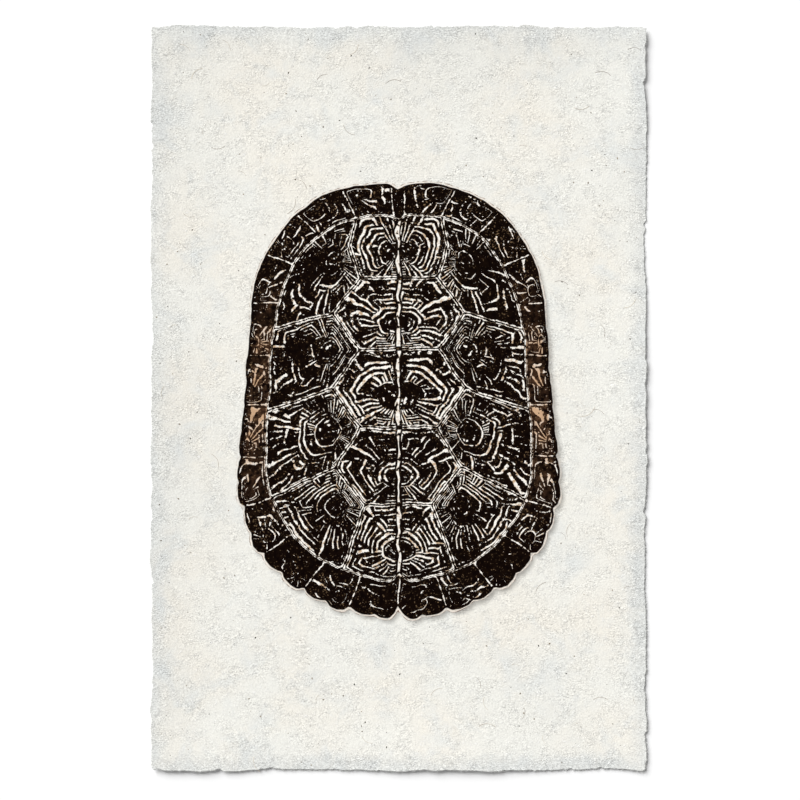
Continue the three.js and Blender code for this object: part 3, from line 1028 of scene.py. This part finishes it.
grow("bark_flecks", bare_mesh, tree, {
    "Per Square Metre": 2000.0, "Seed": 4, "Smallest": 0.32 * MM, "Largest": 1.1 * MM})

# %% Plant hairs
HAIR_BOW = [(-0.5, 0.0, 0.0), (0.0, 0.35, 0.0), (0.5, 0.0, 0.0)]  # as shares of its length

tree, size = new_tree("plant hairs", ["Per Square Metre", "Seed", "Length", "Thickness"])
spots = add_node(tree, "GeometryNodeDistributePointsOnFaces", {
    "Mesh": size["Geometry"], "Density": size["Per Square Metre"], "Seed": size["Seed"]})
hair = stalk(tree, HAIR_BOW, size["Length"], 16, size["Thickness"], 5)
turn = turned_at_random(tree, spots.outputs["Rotation"], 0.0, 2 * math.pi, size["Seed"])
shrink = add_node(tree, "FunctionNodeRandomValue", {"Min": 0.25, "Max": 1.0, "Seed": 6}, data_type="FLOAT")
flatten = add_node(tree, "ShaderNodeCombineXYZ", {"X": shrink, "Y": shrink, "Z": 1.0})
hairs = add_node(tree, "GeometryNodeInstanceOnPoints", {
    "Points": spots, "Instance": hair, "Rotation": turn, "Scale": flatten})
finish_tree(tree, hairs, size["Seed"], plant_hair)
grow("plant_hairs", bare_mesh, tree, {
    "Per Square Metre": 230.0, "Seed": 8, "Length": 18 * MM, "Thickness": 0.36 * MM})

# %% The fringe of the deckle
FIBRE_BOW = [(0.0, 0.8, 0.0), (0.5, -0.4, 0.1), (-0.1, -1.0, 0.05)]  # as shares of how far it reaches
FIBRE_SWING = 1.2  # how far a fibre may turn from straight out, in radians

edge_z = (front_z[front_border] + back_z[back_border]) / 2
ends = np.arange(len(deckle))
edge_mesh = bpy.data.meshes.new("deckle line")
edge_mesh.from_pydata((np.column_stack([deckle, edge_z]) * MM).tolist(),
                      np.stack([ends, np.roll(ends, -1)], 1).tolist(), [])

tree, size = new_tree("deckle fringe", ["Spacing", "Seed", "Reach", "Thickness"])
line = add_node(tree, "GeometryNodeMeshToCurve", {"Mesh": size["Geometry"]})
line = add_node(tree, "GeometryNodeResampleCurve", {"Curve": line, "Length": size["Spacing"]}, mode="LENGTH")
tangent = add_node(tree, "GeometryNodeInputTangent")
along = add_node(tree, "FunctionNodeAlignRotationToVector", {"Vector": tangent}, axis="X", pivot_axis="Z")
turn = turned_at_random(tree, along, -FIBRE_SWING, FIBRE_SWING, size["Seed"])
strand = stalk(tree, FIBRE_BOW, size["Reach"], 5, size["Thickness"], 4)
shrink = add_node(tree, "FunctionNodeRandomValue", {"Min": 0.25, "Max": 1.0, "Seed": 7}, data_type="FLOAT")
fringe = add_node(tree, "GeometryNodeInstanceOnPoints", {
    "Points": line, "Instance": strand, "Rotation": turn, "Scale": shrink})
finish_tree(tree, fringe, size["Seed"], cotton)
grow("deckle_fringe", edge_mesh, tree, {
    "Spacing": 1.6 * MM, "Seed": 3, "Reach": 1.9 * MM, "Thickness": 0.22 * MM})

# %% [markdown]
# ## Floor and light
#
# The sheet lies on a plain pale floor. One broad soft light comes from the upper left, so that the lifted
# right and lower edges throw a thin shadow, and an even white surround fills it.

# %% Floor
FLOOR_DROP = 0.3 * MM
FLOOR_REACH = 300.0  # in metres, so far that no low view sees its end

floor_mesh = bpy.data.meshes.new("floor")
floor_corners = [
    (x * FLOOR_REACH, y * FLOOR_REACH, -FLOOR_DROP) for x, y in ((-1, -1), (1, -1), (1, 1), (-1, 1))]
floor_mesh.from_pydata(floor_corners, [], [(0, 1, 2, 3)])
floor = bpy.data.objects.new("floor", floor_mesh)
bpy.context.scene.collection.objects.link(floor)
floor_paint, floor_tree, floor_output = new_material("matt white studio floor")
floor_shader = add_node(
    floor_tree, "ShaderNodeBsdfPrincipled", {"Base Color": linear("#fbfbfb"), "Roughness": 0.9})
floor_tree.links.new(floor_shader.outputs[0], floor_output.inputs["Surface"])
floor_mesh.materials.append(floor_paint)

# %% Light
KEY_DIRECTION = (1.0, -1.15, -0.95)
KEY_STRENGTH = 4.8
KEY_SPREAD = 42  # in degrees: the wider, the softer the shadow
SURROUND_STRENGTH = 0.26

key_data = bpy.data.lights.new("soft key light", "SUN")
key_data.energy = KEY_STRENGTH
key_data.angle = math.radians(KEY_SPREAD)
key = bpy.data.objects.new("soft key light", key_data)
key.rotation_euler = Vector(KEY_DIRECTION).to_track_quat("-Z", "Y").to_euler()
bpy.context.scene.collection.objects.link(key)

world = bpy.data.worlds.new("white surround")
world.use_nodes = True
surround = world.node_tree.nodes["Background"]
surround.inputs["Color"].default_value = (1, 1, 1, 1)
surround.inputs["Strength"].default_value = SURROUND_STRENGTH
bpy.context.scene.world = world
bpy.context.scene.view_settings.view_transform = "Standard"
